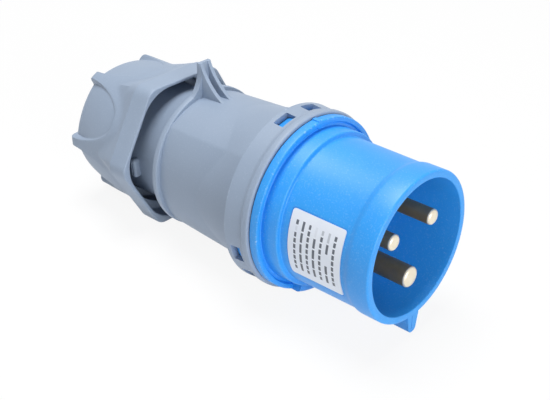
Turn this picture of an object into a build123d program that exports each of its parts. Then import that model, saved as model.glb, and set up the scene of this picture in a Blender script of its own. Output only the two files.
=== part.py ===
from build123d import *
import os
from math import asin, cos, degrees, radians, sin, sqrt

# Industrial plug, pin-and-sleeve type: a blue shroud with a key and three brass pins,
# snapped into a grey housing that ends in a screwed cable gland.
# X runs along the plug towards the pins, and the origin is the centre of the shroud's
# front rim. Z points away from the key. Angles are read from twelve o'clock, clockwise
# as seen from the cable end. Millimetres.

# Shroud: the sleeve that enters the socket
rim_r = 28.75
rim_wall = 2.9
rim_round = 0.7
band_length = 8.8
band_step = 0.75
band_step_run = 1.5
sleeve_length = 38.9
sleeve_draft = 0.3
socket_draft = 0.3
step_ring_height = 1.9
step_ring_length = 6.1
step_ring_round = 0.6
flange_height = 3.7
flange_thickness = 3.4
flange_chamfer = 0.4
flange_root_round = 0.9
base_lead = 1.0
base_thickness = 7.0
skirt_wall = 2.2
skirt_length = 10.2
key_root_width = 6.4
key_tip_width = 3.6
key_height = 7.0
key_round = 0.8
lug_angle = 50.0
lug_height = 4.7
lug_length = 4.6
lug_round = 1.5
pointer_width = 2.0
pointer_height = 0.5

# Label in its shallow pocket on the side of the sleeve
label_front_gap = 1.9
label_rear_gap = 3.6
label_chord = 26.0
label_angle = 89.0
label_corner = 2.0
label_thickness = 0.3
label_recess = 0.2
label_margin = 0.35

# Pins and their terminals
pin_circle_r = 13.1
pin_setback = 2.0
live_pin_r = 3.0
earth_pin_r = 4.0
pin_tip_round = 1.1
pin_root_step = 0.5
collar_width = 2.4
collar_thickness = 3.0
live_barrel_r = 4.9
earth_barrel_r = 5.6
barrel_length = 24.0
conductor_r = 2.8
conductor_depth = 16.0
terminal_chamfer = 0.6
screw_r = 1.9
screw_head_r = 3.1
screw_head_height = 2.4
screw_slot_width = 0.9
screw_slot_depth = 1.1
screw_backed_off = 0.6
screw_end_inset = 4.2
screw_spacing = 7.4
earth_angle = 180.0
line_angle = 60.0
neutral_angle = 300.0

# Contact carrier that holds the pins from behind
carrier_thickness = 7.0
carrier_gap = 0.3
barrier_thickness = 2.0
barrier_reach = 15.0
barrier_length = 22.0
carrier_screw_circle_r = 21.0
carrier_screw_r = 1.75
carrier_screw_bite = 5.0
carrier_screw_head_r = 3.2
carrier_screw_head_height = 2.2

# Housing: ring with windows, faceted grip, rear flange with horn, threaded neck
ring_proud = 1.1
ring_wall = 3.3
ring_length = 12.2
ring_front_chamfer = 0.5
ring_rear_chamfer = 1.5
ring_lip_length = 2.2
ring_lip_run = 1.4
ring_lip_height = 0.5
ring_floor = 1.7
seal_gap = 0.4
seal_width = 1.5
seal_depth = 1.4
window_length = 4.4
window_width = 7.4
window_setback = 4.8
window_pair_angle = 24.0
sector_count = 3
snap_length = 2.9
snap_height = 1.7
snap_crest = 0.9
grip_length = 41.5
grip_facet_count = 4
grip_rear_mid_r = 27.2
grip_rear_corner_r = 28.7
grip_front_mid_r = 29.0
grip_front_corner_r = 30.7
flare_length = 31.0
flare_rear_mid_r = 27.0
flare_front_mid_r = 30.5
flare_crease = 0.8
grip_wall = 2.4
tail_r = 29.2
tail_thickness = 2.5
tail_round = 0.5
tail_wall = 5.0
horn_height = 40.6
horn_top_width = 6.0
horn_root_angle = 15.0
horn_waist_width = 7.6
horn_waist_height = 33.0
horn_rib_base_width = 8.0
horn_slot = 3.4
horn_reach = 11.0
horn_top_depth = 2.2
horn_sag = 3.0
neck_r = 24.0
neck_length = 31.0
neck_bore_r = 19.5
neck_throat_r = 16.5
neck_chamfer = 1.0
nub_height = 2.5
nub_length = 3.0
nub_width = 8.0
nub_angle = 94.0
nub_station = 15.0

# Cable gland: clamping cage, rubber seal, thrust ring and nut
cage_wall = 2.2
cage_length = 18.0
cage_base = 3.5
cage_proud = 2.5
cage_finger_count = 10
cage_slot = 1.6
cage_tip_chamfer = 1.2
gland_seal_bore_r = 9.0
gland_seal_lead = 2.0
thrust_ring_r = 21.4
thrust_ring_bore_r = 12.0
thrust_ring_length = 4.5
thrust_ring_chamfer = 1.0
clamp_travel = 9.5
skirt_stop_gap = 1.5
nut_side_count = 6
nut_hex_r = 30.2
nut_corner_round = 8.0
nut_skirt_wall = 1.5
nut_hollow_round = 15.8
nut_skirt_length = 8.9
nut_skirt_round = 0.5
nut_shoulder_run = 16.0
nut_shoulder_drop = 5.0
nut_grip_r = 29.2
nut_cavity_length = 15.0
nut_cavity_wall = 2.0
nut_end_wall = 3.9
nut_end_round = 5.0
nut_entry_r = 11.0
nut_entry_chamfer = 1.2
scallop_start = 15.5
scallop_length = 25.0
scallop_width = 25.2
scallop_step = 0.3
scallop_floor_round = 95.0
scallop_flatness = 12.0
ear_round = 3.2

# Clearances
slide_gap = 0.2
loose_gap = 0.1
turn_gap = 0.3

# Stations along the axis, from the rim back to the cable end
sleeve_front_r = rim_r - band_step
sleeve_rear_r = sleeve_front_r + sleeve_draft
step_ring_r = sleeve_rear_r + step_ring_height
flange_r = step_ring_r + flange_height
ring_r = flange_r + ring_proud
label_start = band_length + band_step_run + label_front_gap
label_length = sleeve_length - label_start - label_rear_gap
x_step = -sleeve_length
x_flange = x_step - step_ring_length
x_flange_back = x_flange - flange_thickness
x_base = x_flange + base_lead
x_base_back = x_base - base_thickness
x_skirt_end = x_flange_back - skirt_length
ring_band_r = ring_r - ring_lip_height
ring_bore_r = ring_r - ring_wall
skirt_r = ring_bore_r - slide_gap
skirt_bore_r = skirt_r - skirt_wall
x_ring = x_flange_back - seal_gap
x_ring_back = x_ring - ring_length
x_ring_floor = x_ring_back + ring_floor
x_tail = x_ring_back - grip_length
x_tail_back = x_tail - tail_thickness
x_wiring_end = x_tail_back + tail_wall
x_neck_end = x_tail_back - neck_length
x_carrier_back = x_base_back - carrier_thickness
x_collar_back = x_base_back - collar_thickness
x_barrel_end = x_collar_back - barrel_length
x_cage_end = x_neck_end - cage_proud
x_cage_seat = x_cage_end + cage_length
x_thrust_ring = x_cage_end - clamp_travel - turn_gap
x_thrust_ring_back = x_thrust_ring - thrust_ring_length
x_nut = x_tail_back - skirt_stop_gap - clamp_travel
x_nut_back = x_thrust_ring_back - turn_gap - nut_end_wall
x_nut_thread = x_nut - nut_cavity_length
screw_hole_r = screw_r + loose_gap
carrier_r = skirt_bore_r - carrier_gap
cage_r = neck_bore_r - slide_gap
gland_seal_r = cage_r - cage_wall - slide_gap
nut_thread_r = neck_r + turn_gap
nut_cavity_r = nut_grip_r - nut_cavity_wall
screw_stations = [x_barrel_end + screw_end_inset + i * screw_spacing for i in range(2)]
pin_places = [
    ("line", live_pin_r, live_barrel_r, line_angle),
    ("neutral", live_pin_r, live_barrel_r, neutral_angle),
    ("earth", earth_pin_r, earth_barrel_r, earth_angle),
]
thirds = [i * 360 / sector_count for i in range(sector_count)]
window_angles = [third + side * window_pair_angle / 2 for third in thirds for side in (-1, 1)]
facet_turn = 360 / grip_facet_count
facet_corners = [(i + 0.5) * facet_turn for i in range(grip_facet_count)]
nut_faces = [i * 360 / nut_side_count for i in range(nut_side_count)]


def clock(radius, angle):
    """Y and Z of a point at a clock angle."""
    return (-radius * sin(radians(angle)), radius * cos(radians(angle)))


def across(station):
    """Plane square to the axis, with local x along Y and local y along Z."""
    return Plane.YZ.offset(station)


def outward(angle, station, radius=0.0):
    """Plane that faces outward at a clock angle, with local x along the axis."""
    y, z = clock(radius, angle)
    unit_y, unit_z = clock(1, angle)
    return Plane(origin=(station, y, z), x_dir=(1, 0, 0), z_dir=(0, unit_y, unit_z))


def lengthwise(angle):
    """Plane through the axis, with local x along the axis and local y outward."""
    unit_y, unit_z = clock(1, angle)
    return Plane(origin=(0, 0, 0), x_dir=(1, 0, 0), z_dir=(0, -unit_z, unit_y))


def pin_plane(angle):
    """Lengthwise plane through the axis of a pin."""
    y, z = clock(pin_circle_r, angle)
    return Plane(origin=(0, y, z), x_dir=(1, 0, 0), z_dir=(0, -1, 0))


def pin_axis(angle):
    y, z = clock(pin_circle_r, angle)
    return Axis((0, y, z), (1, 0, 0))


def round_corner(sketch, x, y, radius):
    """Rounds the corner of a sketch that lies nearest to a point."""
    fillet(sketch.vertices().sort_by_distance((x, y, 0))[0], radius)


def chamfer_corner(sketch, x, y, length):
    """Cuts the corner of a sketch that lies nearest to a point."""
    chamfer(sketch.vertices().sort_by_distance((x, y, 0))[0], length)


def facet_section(station, mid_r, corner_r):
    """Four shallow arcs that meet at the grip's creases."""
    with BuildSketch(across(station)) as section:
        with BuildLine():
            for corner in facet_corners:
                middle = corner + facet_turn / 2
                following = corner + facet_turn
                ThreePointArc(clock(corner_r, corner), clock(mid_r, middle), clock(corner_r, following))
        make_face()
    return section.sketch


# Pocket for the label, a patch sunk into the drafted sleeve
with BuildPart() as label_pocket:
    with BuildSketch(Plane.XZ):
        with BuildLine():
            Polyline(
                (x_step, sleeve_rear_r - label_recess),
                (-band_length, sleeve_front_r - label_recess),
                (-band_length, rim_r),
                (x_step, step_ring_r),
                close=True,
            )
        make_face()
    revolve(axis=Axis.X)
    with BuildSketch(outward(label_angle, -label_start - label_length / 2)):
        RectangleRounded(
            label_length + 2 * label_margin, label_chord + 2 * label_margin, label_corner + label_margin
        )
    extrude(amount=flange_r, mode=Mode.INTERSECT)

# Retaining lug that stands in front of the shroud's flange, across the key
lug_r = sleeve_rear_r + lug_height
lug_root_r = sleeve_rear_r - rim_wall / 2
lug_edges = [earth_angle - lug_angle / 2, earth_angle + lug_angle / 2]
with BuildPart() as lug:
    with BuildSketch(across(x_flange)) as lug_section:
        with BuildLine():
            ThreePointArc(clock(lug_r, lug_edges[0]), clock(lug_r, earth_angle), clock(lug_r, lug_edges[1]))
            Line(clock(lug_r, lug_edges[1]), clock(lug_root_r, lug_edges[1]))
            ThreePointArc(
                clock(lug_root_r, lug_edges[1]),
                clock(lug_root_r, earth_angle),
                clock(lug_root_r, lug_edges[0]),
            )
            Line(clock(lug_root_r, lug_edges[0]), clock(lug_r, lug_edges[0]))
        make_face()
        for lug_edge in lug_edges:
            round_corner(lug_section, *clock(lug_r, lug_edge), lug_round)
    extrude(amount=lug_length)
    lug_front = lug.faces().sort_by(Axis.X)[-1]
    fillet(lug_front.edges().sort_by(SortBy.DISTANCE)[1:], lug_round)

# Shroud: sleeve, flange, base and rear skirt in one moulding
with BuildPart() as shroud:
    with BuildSketch(Plane.XZ) as shroud_profile:
        with BuildLine():
            Polyline(
                (0, rim_r - rim_wall),
                (0, rim_r),
                (-band_length, rim_r),
                (-band_length - band_step_run, sleeve_front_r),
                (x_step, sleeve_rear_r),
                (x_step, step_ring_r),
                (x_flange, step_ring_r),
                (x_flange, flange_r),
                (x_flange_back, flange_r),
                (x_flange_back, skirt_r),
                (x_skirt_end, skirt_r),
                (x_skirt_end, skirt_bore_r),
                (x_base_back, skirt_bore_r),
                (x_base_back, 0),
                (x_base, 0),
                (x_base, rim_r - rim_wall - socket_draft),
                close=True,
            )
        make_face()
        round_corner(shroud_profile, 0, rim_r, rim_round)
        round_corner(shroud_profile, 0, rim_r - rim_wall, rim_round / 2)
        round_corner(shroud_profile, x_step, step_ring_r, step_ring_round)
        round_corner(shroud_profile, x_flange, step_ring_r, flange_root_round)
        chamfer_corner(shroud_profile, x_flange, flange_r, flange_chamfer)
    revolve(axis=Axis.X)
    # Key rib at six o'clock, from the rim to the flange
    with BuildSketch(across(0)) as key_section:
        with BuildLine():
            Polyline(
                (-key_root_width / 2, -rim_r + rim_wall / 2),
                (-key_root_width / 2, -rim_r),
                (-key_tip_width / 2, -rim_r - key_height),
                (key_tip_width / 2, -rim_r - key_height),
                (key_root_width / 2, -rim_r),
                (key_root_width / 2, -rim_r + rim_wall / 2),
                close=True,
            )
        make_face()
        round_corner(key_section, key_tip_width / 2, -rim_r - key_height, key_round)
        round_corner(key_section, -key_tip_width / 2, -rim_r - key_height, key_round)
    extrude(amount=x_flange)
    add(lug.part)
    # Pointer on the flange at twelve o'clock
    with BuildSketch(outward(0, x_flange_back, skirt_r)):
        with Locations((flange_thickness / 2, 0)):
            Rectangle(flange_thickness, pointer_width)
    extrude(amount=flange_r + pointer_height - skirt_r)
    # Snap hooks that spring into the housing's windows
    x_catch = x_ring - window_setback - slide_gap
    for window_angle in window_angles:
        with BuildSketch(lengthwise(window_angle)):
            with BuildLine():
                Polyline(
                    (x_catch, skirt_bore_r + skirt_wall / 2),
                    (x_catch, skirt_r + snap_height),
                    (x_catch - snap_crest, skirt_r + snap_height),
                    (x_catch - snap_length, skirt_r),
                    (x_catch - snap_length, skirt_bore_r + skirt_wall / 2),
                    close=True,
                )
            make_face()
        extrude(amount=window_width / 2 - 2 * slide_gap, both=True)
    # Holes for the pins through the base, and pilot holes for the carrier's screws
    with BuildSketch(across(x_base_back)):
        for _, pin_r, _, pin_angle in pin_places:
            with Locations(clock(pin_circle_r, pin_angle)):
                Circle(pin_r + pin_root_step + loose_gap)
    extrude(amount=base_thickness, mode=Mode.SUBTRACT)
    with BuildSketch(across(x_base_back)):
        for third in thirds:
            with Locations(clock(carrier_screw_circle_r, third)):
                Circle(carrier_screw_r + loose_gap)
    extrude(amount=carrier_screw_bite + loose_gap, mode=Mode.SUBTRACT)
    add(label_pocket.part, mode=Mode.SUBTRACT)

# Label: a film patch curved round the sleeve
with BuildPart() as label:
    with BuildSketch(Plane.XZ):
        with BuildLine():
            film_foot = -label_recess
            film_face = label_thickness - label_recess
            Polyline(
                (x_step, sleeve_rear_r + film_foot),
                (-band_length, sleeve_front_r + film_foot),
                (-band_length, sleeve_front_r + film_face),
                (x_step, sleeve_rear_r + film_face),
                close=True,
            )
        make_face()
    revolve(axis=Axis.X)
    with BuildSketch(outward(label_angle, -label_start - label_length / 2)):
        RectangleRounded(label_length, label_chord, label_corner)
    extrude(amount=flange_r, mode=Mode.INTERSECT)


def make_pin(pin_r, barrel_r, angle):
    """Turned brass pin with a collar and a bored barrel with two screw holes."""
    root_r = pin_r + pin_root_step
    collar_r = pin_r + collar_width
    with BuildPart() as pin:
        with BuildSketch(pin_plane(angle)) as pin_profile:
            with BuildLine():
                Polyline(
                    (-pin_setback, 0),
                    (-pin_setback, pin_r),
                    (x_base, pin_r),
                    (x_base, root_r),
                    (x_base_back, root_r),
                    (x_base_back, collar_r),
                    (x_collar_back, collar_r),
                    (x_collar_back, barrel_r),
                    (x_barrel_end, barrel_r),
                    (x_barrel_end, 0),
                    close=True,
                )
            make_face()
            round_corner(pin_profile, -pin_setback, pin_r, pin_tip_round)
            chamfer_corner(pin_profile, x_barrel_end, barrel_r, terminal_chamfer)
        revolve(axis=pin_axis(angle))
        with BuildSketch(across(x_barrel_end)):
            with Locations(clock(pin_circle_r, angle)):
                Circle(conductor_r)
        extrude(amount=conductor_depth, mode=Mode.SUBTRACT)
        for station in screw_stations:
            with BuildSketch(outward(angle, station, pin_circle_r)):
                Circle(screw_hole_r)
            extrude(amount=barrel_r, mode=Mode.SUBTRACT)
    return pin.part


def make_terminal_screw(barrel_r, angle, station):
    """Slotted screw, backed off so that the barrel is open for a conductor."""
    foot_r = pin_circle_r + conductor_r
    head_foot_r = pin_circle_r + barrel_r + screw_backed_off
    head_top_r = head_foot_r + screw_head_height
    with BuildPart() as screw:
        with BuildSketch(outward(angle, station, foot_r)):
            Circle(screw_r)
        extrude(amount=head_foot_r - foot_r)
        with BuildSketch(outward(angle, station, head_foot_r)):
            Circle(screw_head_r)
        extrude(amount=screw_head_height)
        with BuildSketch(outward(angle, station, head_top_r)):
            Rectangle(2 * screw_head_r, screw_slot_width)
        extrude(amount=-screw_slot_depth, mode=Mode.SUBTRACT)
    return screw.part


# Contact carrier: disc with recesses for the pin collars and barriers between terminals
with BuildPart() as carrier:
    with BuildSketch(across(x_base_back)):
        Circle(carrier_r)
    extrude(amount=-carrier_thickness)
    with BuildSketch(across(x_carrier_back)):
        for third in thirds:
            with Locations(clock(barrier_reach / 2, third)):
                Rectangle(barrier_thickness, barrier_reach, rotation=third)
    extrude(amount=-barrier_length)
    with BuildSketch(across(x_base_back)):
        for _, pin_r, _, pin_angle in pin_places:
            with Locations(clock(pin_circle_r, pin_angle)):
                Circle(pin_r + collar_width + loose_gap)
    extrude(amount=-collar_thickness, mode=Mode.SUBTRACT)
    with BuildSketch(across(x_collar_back)):
        for _, _, barrel_r, pin_angle in pin_places:
            with Locations(clock(pin_circle_r, pin_angle)):
                Circle(barrel_r + loose_gap)
    extrude(amount=-carrier_thickness, mode=Mode.SUBTRACT)
    with BuildSketch(across(x_base_back)):
        for third in thirds:
            with Locations(clock(carrier_screw_circle_r, third)):
                Circle(carrier_screw_r + loose_gap)
    extrude(amount=-carrier_thickness, mode=Mode.SUBTRACT)

# Screws that hold the carrier to the shroud's base
with BuildPart() as carrier_screws:
    for third in thirds:
        with BuildSketch(across(x_carrier_back)):
            with Locations(clock(carrier_screw_circle_r, third)):
                Circle(carrier_screw_r)
        extrude(amount=carrier_thickness + carrier_screw_bite)
        with BuildSketch(across(x_carrier_back)):
            with Locations(clock(carrier_screw_circle_r, third)):
                Circle(carrier_screw_head_r)
        extrude(amount=-carrier_screw_head_height)
        with BuildSketch(across(x_carrier_back - carrier_screw_head_height)):
            with Locations(clock(carrier_screw_circle_r, third)):
                Rectangle(2 * carrier_screw_head_r, screw_slot_width, rotation=third)
        extrude(amount=screw_slot_depth, mode=Mode.SUBTRACT)

# Horn of the housing: a plate that grows out of the tail, stayed by two ribs
x_horn_end = x_tail + horn_reach
horn_foot = grip_rear_mid_r - grip_wall / 2
with BuildPart() as horn:
    with BuildSketch(Plane.XZ):
        with BuildLine():
            Polyline(
                (x_horn_end, grip_rear_mid_r),
                (x_horn_end, horn_foot),
                (x_tail_back, horn_foot),
                (x_tail_back, horn_height),
                (x_tail_back + horn_top_depth, horn_height),
            )
            SagittaArc((x_horn_end, grip_rear_mid_r), (x_tail_back + horn_top_depth, horn_height), horn_sag)
        make_face()
    extrude(amount=horn_rib_base_width / 2, both=True)
    with BuildSketch(across(x_tail_back)):
        with BuildLine():
            Polyline(
                (-horn_rib_base_width / 2, horn_foot),
                (horn_rib_base_width / 2, horn_foot),
                (horn_top_width / 2, horn_height),
                (-horn_top_width / 2, horn_height),
                close=True,
            )
        make_face()
    extrude(amount=x_horn_end - x_tail_back, mode=Mode.INTERSECT)
    with BuildSketch(across(x_tail)):
        with Locations((0, (grip_rear_mid_r + grip_wall / 2 + horn_height) / 2)):
            Rectangle(horn_slot, horn_height - grip_rear_mid_r)
    extrude(amount=horn_reach, mode=Mode.SUBTRACT)
    with BuildSketch(across(x_tail_back)):
        with BuildLine():
            horn_root = clock(tail_r, horn_root_angle)
            ThreePointArc(
                horn_root, (-horn_waist_width / 2, horn_waist_height), (-horn_top_width / 2, horn_height)
            )
            Line((-horn_top_width / 2, horn_height), (horn_top_width / 2, horn_height))
            ThreePointArc(
                (horn_top_width / 2, horn_height),
                (horn_waist_width / 2, horn_waist_height),
                clock(tail_r, -horn_root_angle),
            )
            Polyline(
                clock(tail_r, -horn_root_angle),
                (horn_waist_width / 2, horn_foot),
                (-horn_waist_width / 2, horn_foot),
                horn_root,
            )
        make_face()
    extrude(amount=tail_thickness)

# Housing: one hollow moulding from the windowed ring to the threaded neck
with BuildPart() as housing:
    with BuildSketch(Plane.XZ) as ring_profile:
        with BuildLine():
            Polyline(
                (x_ring, 0),
                (x_ring, ring_r),
                (x_ring - ring_lip_length, ring_r),
                (x_ring - ring_lip_length - ring_lip_run, ring_band_r),
                (x_ring_back, ring_band_r),
                (x_ring_back, 0),
                close=True,
            )
        make_face()
        chamfer_corner(ring_profile, x_ring, ring_r, ring_front_chamfer)
        chamfer_corner(ring_profile, x_ring_back, ring_band_r, ring_rear_chamfer)
    revolve(axis=Axis.X)
    # Faceted grip, and the flare that carries it out to the ring
    loft(
        [
            facet_section(x_tail, grip_rear_mid_r, grip_rear_corner_r),
            facet_section(x_ring_back, grip_front_mid_r, grip_front_corner_r),
        ]
    )
    loft(
        [
            facet_section(x_ring_back - flare_length, flare_rear_mid_r, flare_rear_mid_r + flare_crease),
            facet_section(x_ring_back, flare_front_mid_r, flare_front_mid_r + flare_crease),
        ]
    )
    # Tail flange, and the neck that the nut screws on
    with BuildSketch(Plane.XZ) as tail_profile:
        with BuildLine():
            Polyline(
                (x_tail, 0),
                (x_tail, tail_r),
                (x_tail_back, tail_r),
                (x_tail_back, neck_r),
                (x_neck_end, neck_r),
                (x_neck_end, 0),
                close=True,
            )
        make_face()
        round_corner(tail_profile, x_tail, tail_r, tail_round)
        round_corner(tail_profile, x_tail_back, tail_r, tail_round)
        chamfer_corner(tail_profile, x_neck_end, neck_r, neck_chamfer)
    revolve(axis=Axis.X)
    add(horn.part)
    # Nubs on the neck that the nut's skirt rides past
    for side in (0, 180):
        with BuildSketch(outward(nub_angle + side, x_tail_back - nub_station, neck_bore_r)):
            RectangleRounded(nub_length, nub_width, nub_length / 4)
        extrude(amount=neck_r + nub_height - neck_bore_r)
    # Hollow: ring bore, tapering wiring space, throat and gland seat
    with BuildSketch(Plane.XZ):
        with BuildLine():
            Polyline(
                (x_ring, 0),
                (x_ring, ring_bore_r + seal_width),
                (x_ring - seal_depth, ring_bore_r + seal_width),
                (x_ring - seal_depth, ring_bore_r),
                (x_ring_floor, ring_bore_r),
                (x_ring_floor, grip_front_mid_r - grip_wall),
                (x_wiring_end, grip_rear_mid_r - grip_wall),
                (x_wiring_end, neck_throat_r),
                (x_cage_seat, neck_throat_r),
                (x_cage_seat, neck_bore_r),
                (x_neck_end, neck_bore_r),
                (x_neck_end, 0),
                close=True,
            )
        make_face()
    revolve(axis=Axis.X, mode=Mode.SUBTRACT)
    # Windows in three pairs round the ring
    for window_angle in window_angles:
        with BuildSketch(outward(window_angle, x_ring - window_setback - window_length / 2, skirt_bore_r)):
            Rectangle(window_length, window_width)
        extrude(amount=ring_r - skirt_bore_r + ring_wall, mode=Mode.SUBTRACT)

# Flat rubber seal between the flange and the housing's ring
with BuildPart() as housing_seal:
    with BuildSketch(across(x_flange_back)):
        Circle(ring_bore_r + seal_width - loose_gap)
        Circle(skirt_r + loose_gap, mode=Mode.SUBTRACT)
    extrude(amount=-seal_gap - seal_depth)

# Clamping cage: a ring with fingers that close on the seal
with BuildPart() as clamp_cage:
    with BuildSketch(Plane.XZ) as cage_profile:
        with BuildLine():
            Polyline(
                (x_cage_seat, gland_seal_bore_r + gland_seal_lead),
                (x_cage_seat, cage_r),
                (x_cage_end, cage_r),
                (x_cage_end, cage_r - cage_wall),
                (x_cage_seat - cage_base, cage_r - cage_wall),
                (x_cage_seat - cage_base, gland_seal_bore_r + gland_seal_lead),
                close=True,
            )
        make_face()
        chamfer_corner(cage_profile, x_cage_end, cage_r, cage_tip_chamfer)
    revolve(axis=Axis.X)
    for finger in range(cage_finger_count):
        with BuildSketch(outward(finger * 360 / cage_finger_count, x_cage_end, gland_seal_bore_r)):
            Rectangle(2 * (cage_length - 2 * cage_base), cage_slot)
        extrude(amount=cage_r, mode=Mode.SUBTRACT)

# Rubber seal that grips the cable inside the cage
with BuildPart() as gland_seal:
    x_seal = x_cage_seat - cage_base
    with BuildSketch(Plane.XZ) as seal_profile:
        with BuildLine():
            Polyline(
                (x_seal, gland_seal_bore_r),
                (x_seal, gland_seal_r),
                (x_cage_end, gland_seal_r),
                (x_cage_end, gland_seal_bore_r),
                close=True,
            )
        make_face()
        chamfer_corner(seal_profile, x_seal, gland_seal_bore_r, gland_seal_lead)
        chamfer_corner(seal_profile, x_cage_end, gland_seal_bore_r, gland_seal_lead)
    revolve(axis=Axis.X)

# Thrust ring carried in the nut, which keeps the seal from twisting
with BuildPart() as thrust_ring:
    with BuildSketch(Plane.XZ) as thrust_profile:
        with BuildLine():
            Polyline(
                (x_thrust_ring, thrust_ring_bore_r),
                (x_thrust_ring, thrust_ring_r),
                (x_thrust_ring_back, thrust_ring_r),
                (x_thrust_ring_back, thrust_ring_bore_r),
                close=True,
            )
        make_face()
        chamfer_corner(thrust_profile, x_thrust_ring, thrust_ring_bore_r, thrust_ring_chamfer)
    revolve(axis=Axis.X)

# Thumb scallops of the nut: their floors curve in to the cable end
x_scallop = x_nut - scallop_start
x_scallop_end = x_nut_back + nut_end_round
scallop_front_r = nut_grip_r - scallop_step
floor_run = x_scallop - x_scallop_end
floor_centre_r = scallop_front_r - scallop_floor_round
floor_turn = degrees(asin(floor_run / (scallop_floor_round - nut_end_round)))
end_centre_r = floor_centre_r + sqrt((scallop_floor_round - nut_end_round) ** 2 - floor_run**2)


def make_scallop(face):
    """Cutter for the thumb scallop in one face of the nut, with a floor flatter than the grip."""
    flat_y, flat_z = clock(-scallop_flatness, face)
    with BuildPart() as scallop:
        with BuildSketch(outward(face, x_scallop - scallop_length)):
            Ellipse(scallop_length, scallop_width / 2)
        extrude(amount=2 * nut_grip_r)
        with BuildSketch(lengthwise(face)):
            with BuildLine():
                CenterArc((x_scallop, floor_centre_r), scallop_floor_round, 90, floor_turn)
                CenterArc((x_scallop_end, end_centre_r), nut_end_round, 90 + floor_turn, 90 - floor_turn)
                Polyline(
                    (x_nut_back, end_centre_r),
                    (x_nut_back, 2 * nut_grip_r),
                    (x_scallop, 2 * nut_grip_r),
                    (x_scallop, scallop_front_r),
                )
            make_face()
        revolve(axis=Axis((0, flat_y, flat_z), (1, 0, 0)), mode=Mode.INTERSECT)
    return scallop.part


def hex_section(station, flat_r, corner_round):
    """Hexagon of the nut with rounded corners, across the axis."""
    with BuildSketch(across(station)) as section:
        RegularPolygon(flat_r, nut_side_count, major_radius=False)
        fillet(section.vertices(), corner_round)
    return section.sketch


# Gland nut: hexagonal skirt, a shoulder that tapers into the grip, and six thumb scallops
x_skirt_back = x_nut - nut_skirt_length
x_shoulder = x_skirt_back - nut_shoulder_run
x_nut_thread_end = x_neck_end - clamp_travel - turn_gap
x_nut_seat = x_nut_back + nut_end_wall
scallops = [make_scallop(nut_face) for nut_face in nut_faces]
with BuildPart() as gland_nut:
    extrude(hex_section(x_nut, nut_hex_r, nut_corner_round), amount=-nut_skirt_length)
    fillet(gland_nut.edges().group_by(Axis.X)[-1], nut_skirt_round)
    loft(
        [
            hex_section(x_skirt_back, nut_hex_r, nut_corner_round),
            hex_section(x_shoulder, nut_hex_r - nut_shoulder_drop, nut_corner_round - nut_shoulder_drop),
        ]
    )
    with BuildSketch(Plane.XZ) as grip_profile:
        with BuildLine():
            Polyline(
                (x_skirt_back, 0),
                (x_skirt_back, nut_grip_r),
                (x_nut_back, nut_grip_r),
                (x_nut_back, 0),
                close=True,
            )
        make_face()
        round_corner(grip_profile, x_nut_back, nut_grip_r, ear_round)
    revolve(axis=Axis.X)
    add(scallops, mode=Mode.SUBTRACT)
    skirt_hollow = hex_section(x_nut, nut_hex_r - nut_skirt_wall, nut_hollow_round)
    extrude(skirt_hollow, amount=-nut_skirt_length, mode=Mode.SUBTRACT)
    with BuildSketch(Plane.XZ):
        with BuildLine():
            Polyline(
                (x_nut, 0),
                (x_nut, nut_cavity_r),
                (x_nut_thread, nut_cavity_r),
                (x_nut_thread, nut_thread_r),
                (x_nut_thread_end, nut_thread_r),
                (x_nut_thread_end, thrust_ring_r + turn_gap),
                (x_nut_seat, thrust_ring_r + turn_gap),
                (x_nut_seat, nut_entry_r),
                (x_nut_back + nut_entry_chamfer, nut_entry_r),
                (x_nut_back, nut_entry_r + nut_entry_chamfer),
                (x_nut_back, 0),
                close=True,
            )
        make_face()
    revolve(axis=Axis.X, mode=Mode.SUBTRACT)

pieces = {
    "shroud": shroud.part,
    "label": label.part,
    "contact_carrier": carrier.part,
    "carrier_screws": carrier_screws.part,
    "housing": housing.part,
    "housing_seal": housing_seal.part,
    "clamp_cage": clamp_cage.part,
    "gland_seal": gland_seal.part,
    "thrust_ring": thrust_ring.part,
    "gland_nut": gland_nut.part,
}
for pin_name, pin_r, barrel_r, pin_angle in pin_places:
    pieces[f"{pin_name}_pin"] = make_pin(pin_r, barrel_r, pin_angle)
    for place, station in zip(("rear", "front"), screw_stations):
        pieces[f"{pin_name}_{place}_screw"] = make_terminal_screw(barrel_r, pin_angle, station)

os.makedirs("parts", exist_ok=True)
for name, piece in pieces.items():
    piece.label = name
    export_step(piece, f"parts/{name}.step")
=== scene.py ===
from math import asin, atan2, cos, hypot, pi, radians, sin, sqrt, tan, tau

import bmesh
import bpy
from mathutils import Matrix, Vector


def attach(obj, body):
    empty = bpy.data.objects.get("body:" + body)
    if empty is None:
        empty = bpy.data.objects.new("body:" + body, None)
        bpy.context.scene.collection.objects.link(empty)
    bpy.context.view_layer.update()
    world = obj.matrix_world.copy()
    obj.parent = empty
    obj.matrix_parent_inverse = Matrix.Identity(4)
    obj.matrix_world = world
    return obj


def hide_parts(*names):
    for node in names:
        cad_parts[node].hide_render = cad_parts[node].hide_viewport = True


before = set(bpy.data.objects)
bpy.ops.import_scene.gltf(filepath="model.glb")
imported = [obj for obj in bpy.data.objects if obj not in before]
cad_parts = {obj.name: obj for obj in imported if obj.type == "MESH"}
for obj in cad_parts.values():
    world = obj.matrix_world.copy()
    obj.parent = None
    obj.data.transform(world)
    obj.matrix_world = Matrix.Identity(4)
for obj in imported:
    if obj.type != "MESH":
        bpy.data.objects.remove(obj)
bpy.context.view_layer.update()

# Shroud: the keyed sleeve that enters the socket, with its flange, base and snap skirt.
# One injection moulding in blue polyamide, with a spark-eroded matte grain from the mould.
# Its skirt pushes into the housing's ring, where six hooks spring into the windows.
MM = 0.001
WELD = MM / 1000
CLOSE = MM / 200
SMOOTH_LIMIT = radians(32)
OVERCUT = 1.0
TURN_STEPS = 192
BORE_STEPS = 48

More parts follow.
